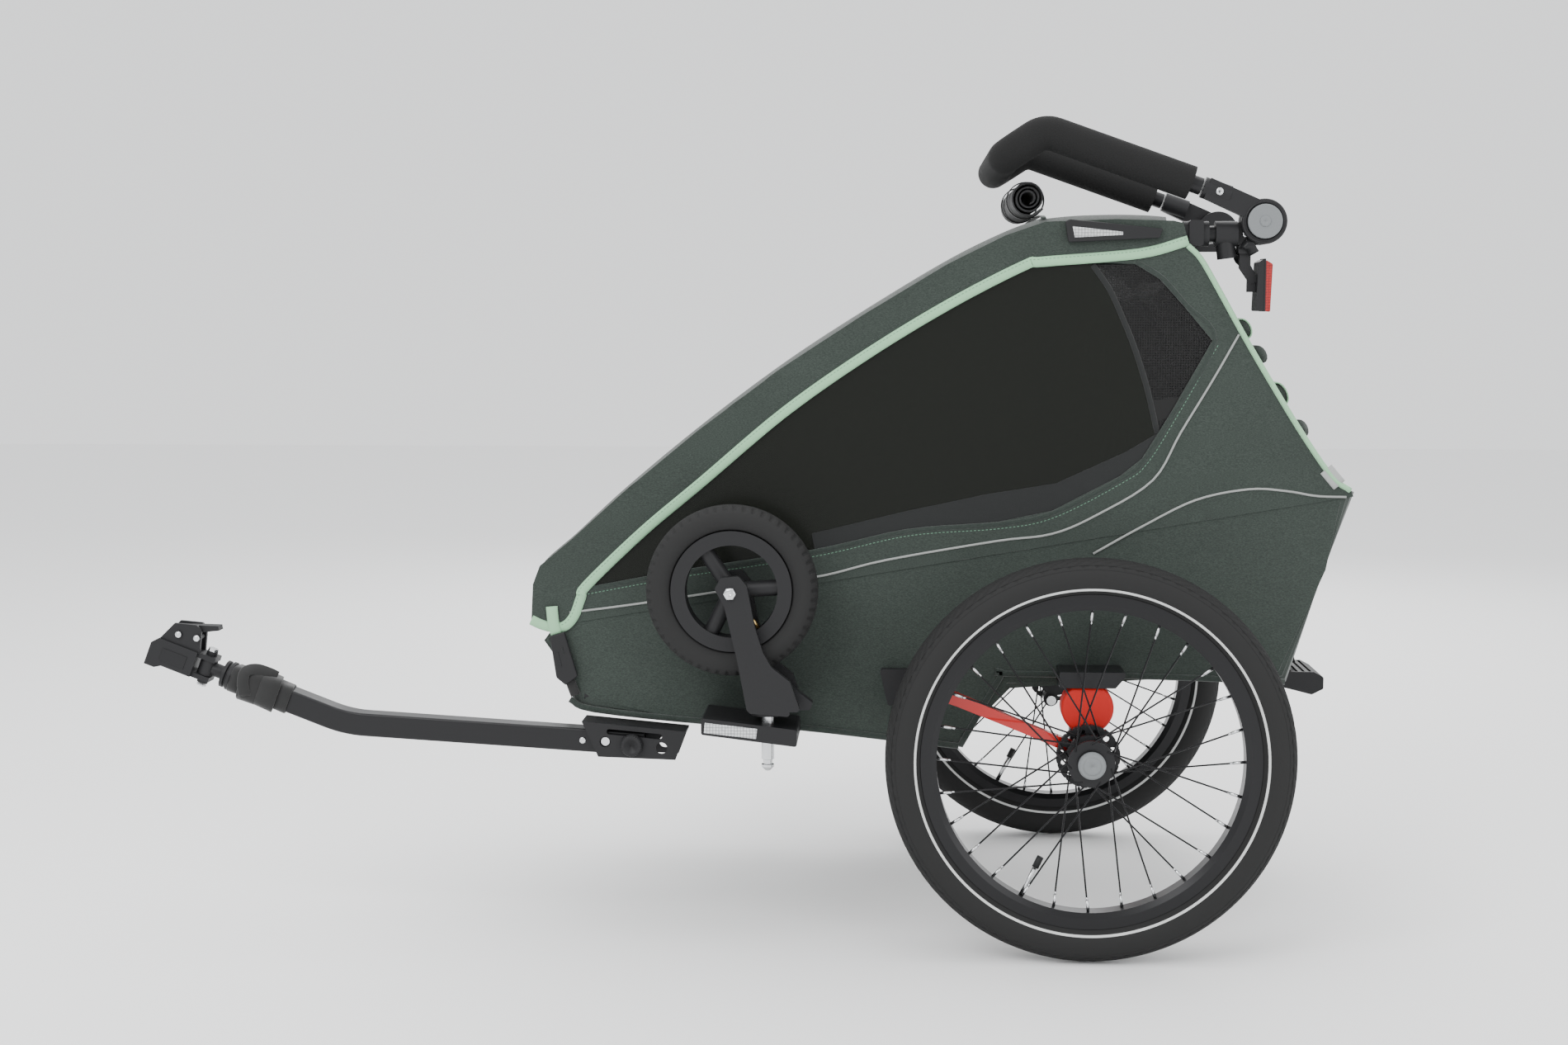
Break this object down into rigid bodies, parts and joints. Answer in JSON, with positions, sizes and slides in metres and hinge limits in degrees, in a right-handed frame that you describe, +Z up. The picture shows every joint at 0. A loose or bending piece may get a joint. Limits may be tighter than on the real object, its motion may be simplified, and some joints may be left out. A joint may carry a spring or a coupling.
{
  "type": "child bicycle trailer",
  "caption": "Folding child bicycle trailer with a fabric cabin, sprung spoked wheels, push handle, offset drawbar with hitch and a stowed stroller wheel.",
  "frame": {"origin": "on the ground at the middle of the overall length and width", "axes": "+Z up, +X to the rear, the hitch at -X, the drawbar and stowed wheel on the left side at -Y"},
  "size_m": [1.5572, 0.7092, 1.052],
  "materials": {
    "frame_black": "satin powder coat",
    "green_fabric": "woven heather",
    "tinted_film": "clear glossy film, tinted dark",
    "seat_fabric": "padded weave",
    "webbing": "ribbed webbing",
    "black_plastic": "fine grain",
    "grey_plastic": "fine grain",
    "foam": "closed-cell foam",
    "red_lens": "clear red",
    "tyre_rubber": "moulded tread",
    "rim_black": "black anodised",
    "spoke_steel": "black steel, silver nipples",
    "steel": "bright zinc",
    "red_metal": "gloss powder coat",
    "red_rubber": "matt elastomer",
    "cover_fabric": "coated weave"
  },
  "bodies": {
    "chassis": {"side_rails": "frame_black", "cross_tubes": "frame_black", "tub_fabric": "green_fabric", "canopy_fabric": "green_fabric", "side_windows": "tinted_film", "seat_cushion": "seat_fabric", "lap_harness": "webbing", "frame_pivot_brackets": "frame_black", "arm_pivot_brackets": "black_plastic", "spring_brackets": "frame_black", "drawbar_bracket": "frame_black", "wheel_holders": "black_plastic", "fabric_buckles": "black_plastic", "rubber_spring_left": "red_rubber", "rubber_spring_right": "red_rubber"},
    "top_frame": {"top_frame_tubes": "frame_black", "corner_fittings": "black_plastic", "handle_hinge_bases": "black_plastic", "roof_reflectors": "black_plastic", "rolled_cover": "cover_fabric", "light_mount": "black_plastic", "rear_light_housing": "black_plastic", "rear_light_lens": "red_lens"},
    "back_frame": {"back_frame_tubes": "frame_black", "backrest_cushion": "seat_fabric", "shoulder_straps": "webbing"},
    "handle": {"handle_hinge_heads": "black_plastic", "handle_tube": "frame_black", "handle_grip": "foam"},
    "drawbar": {"drawbar_tube": "frame_black", "safety_strap": "webbing", "hitch_joint": "black_plastic"},
    "drawbar_button": {"drawbar_button": "steel"},
    "hitch": {"hitch_body": "black_plastic"},
    "hitch_lever": {"hitch_lever": "black_plastic"},
    "stroller_fork": {"stroller_fork": "black_plastic"},
    "stroller_wheel": {"stroller_tyre": "tyre_rubber", "stroller_rim": "black_plastic"},
    "brake_pedal": {"brake_pedal": "black_plastic"},
    "stroller_carrier": {"stroller_pin": "steel"},
    "arm_left": {"swing_arm_left": "red_metal", "axle_carrier_left": "frame_black"},
    "pawl_left": {"brake_pawl_left": "steel"},
    "wheel_left": {"tyre_left": "tyre_rubber", "rim_left": "rim_black", "spokes_left": "spoke_steel", "hub_left": "frame_black"},
    "hub_button_left": {"hub_button_left": "grey_plastic"},
    "sleeve_left": {"locking_sleeve_left": "black_plastic"},
    "handle_button_left": {"handle_button_left": "grey_plastic"},
    "arm_right": {"swing_arm_right": "red_metal", "axle_carrier_right": "frame_black"},
    "pawl_right": {"brake_pawl_right": "steel"},
    "wheel_right": {"tyre_right": "tyre_rubber", "rim_right": "rim_black", "spokes_right": "spoke_steel", "hub_right": "frame_black"},
    "hub_button_right": {"hub_button_right": "grey_plastic"},
    "sleeve_right": {"locking_sleeve_right": "black_plastic"},
    "handle_button_right": {"handle_button_right": "grey_plastic"}
  },
  "joints": [
    {"name": "top_fold", "type": "hinge", "parent": "chassis", "child": "top_frame", "pos_m": [-0.19136, 0, 0.335], "axis": [0, 1, 0], "range_deg": [0, 13], "deforming": ["canopy_fabric", "side_windows"]},
    {"name": "back_fold", "type": "hinge", "parent": "chassis", "child": "back_frame", "pos_m": [0.51564, 0, 0.432], "axis": [0, -1, 0], "range_deg": [0, 65.1]},
    {"name": "handle_hinge", "type": "hinge", "parent": "top_frame", "child": "handle", "pos_m": [0.65764, 0, 0.92], "axis": [0, 1, 0], "range_deg": [0, 140]},
    {"name": "drawbar_fold", "type": "hinge", "parent": "chassis", "child": "drawbar", "pos_m": [-0.13936, -0.225, 0.252], "axis": [0, -1, 0], "range_deg": [0, 165]},
    {"name": "drawbar_button_press", "type": "slide", "parent": "drawbar", "child": "drawbar_button", "axis": [0, 1, 0], "range_m": [0, 0.003], "stiffness_N_per_m": 800, "springref_m": -0.002},
    {"name": "hitch_swing", "type": "hinge", "parent": "drawbar", "child": "hitch", "pos_m": [-0.69978, -0.225, 0.3451], "axis": [0.3584, 0, 0.9336], "range_deg": [-45, 45], "stiffness_Nm_per_rad": 3},
    {"name": "lever_lift", "type": "hinge", "parent": "hitch", "child": "hitch_lever", "pos_m": [-0.73197, -0.225, 0.3896], "axis": [0, -1, 0], "range_deg": [0, 25], "stiffness_Nm_per_rad": 0.6, "springref_deg": -11.46},
    {"name": "stroller_lift", "type": "slide", "parent": "chassis", "child": "stroller_carrier", "axis": [0, 0, 1], "range_m": [0, 0.08]},
    {"name": "stroller_swivel", "type": "hinge", "parent": "stroller_carrier", "child": "stroller_fork", "pos_m": [0.03864, -0.29, 0.3], "axis": [0, 0, 1], "range_deg": [0, 45]},
    {"name": "stroller_spin", "type": "hinge", "parent": "stroller_fork", "child": "stroller_wheel", "pos_m": [-0.00636, -0.29, 0.46], "axis": [0, 1, 0], "continuous": true},
    {"name": "pedal_press", "type": "hinge", "parent": "chassis", "child": "brake_pedal", "pos_m": [0.70264, 0, 0.312], "axis": [0, 1, 0], "range_deg": [0, 20], "stiffness_Nm_per_rad": 3, "springref_deg": -8.59},
    {"name": "arm_swing_left", "type": "hinge", "parent": "chassis", "child": "arm_left", "pos_m": [0.22564, -0.274, 0.34], "axis": [0, -1, 0], "range_deg": [0, 6], "stiffness_Nm_per_rad": 150, "springref_deg": -14.32, "deforming": ["rubber_spring_left"]},
    {"name": "wheel_spin_left", "type": "hinge", "parent": "arm_left", "child": "wheel_left", "pos_m": [0.44064, -0.32, 0.254], "axis": [0, 1, 0], "continuous": true},
    {"name": "pawl_slide_left", "type": "slide", "parent": "arm_left", "child": "pawl_left", "axis": [0, -1, 0], "range_m": [0, 0.0061]},
    {"name": "hub_button_press_left", "type": "slide", "parent": "wheel_left", "child": "hub_button_left", "axis": [0, 1, 0], "range_m": [0, 0.003], "stiffness_N_per_m": 1000, "springref_m": -0.002},
    {"name": "sleeve_slide_left", "type": "slide", "parent": "top_frame", "child": "sleeve_left", "axis": [-1, 0, 0], "range_m": [0, 0.02], "stiffness_N_per_m": 300, "springref_m": -0.02},
    {"name": "handle_button_press_left", "type": "slide", "parent": "handle", "child": "handle_button_left", "axis": [0, 1, 0], "range_m": [0, 0.0028], "stiffness_N_per_m": 1000, "springref_m": -0.002},
    {"name": "arm_swing_right", "type": "hinge", "parent": "chassis", "child": "arm_right", "pos_m": [0.22564, 0.274, 0.34], "axis": [0, -1, 0], "range_deg": [0, 6], "stiffness_Nm_per_rad": 150, "springref_deg": -14.32, "deforming": ["rubber_spring_right"]},
    {"name": "wheel_spin_right", "type": "hinge", "parent": "arm_right", "child": "wheel_right", "pos_m": [0.44064, 0.32, 0.254], "axis": [0, 1, 0], "continuous": true},
    {"name": "pawl_slide_right", "type": "slide", "parent": "arm_right", "child": "pawl_right", "axis": [0, 1, 0], "range_m": [0, 0.0061]},
    {"name": "hub_button_press_right", "type": "slide", "parent": "wheel_right", "child": "hub_button_right", "axis": [0, -1, 0], "range_m": [0, 0.003], "stiffness_N_per_m": 1000, "springref_m": -0.002},
    {"name": "sleeve_slide_right", "type": "slide", "parent": "top_frame", "child": "sleeve_right", "axis": [-1, 0, 0], "range_m": [0, 0.02], "stiffness_N_per_m": 300, "springref_m": -0.02},
    {"name": "handle_button_press_right", "type": "slide", "parent": "handle", "child": "handle_button_right", "axis": [0, -1, 0], "range_m": [0, 0.0028], "stiffness_N_per_m": 1000, "springref_m": -0.002}
  ],
  "couplings": [
    {"joint": "pawl_slide_left", "follows": "pedal_press", "m_per_rad": 0.0172},
    {"joint": "pawl_slide_right", "follows": "pedal_press", "m_per_rad": 0.0172},
    {"joint": "back_fold", "follows": "top_fold", "ratio": 5}
  ]
}
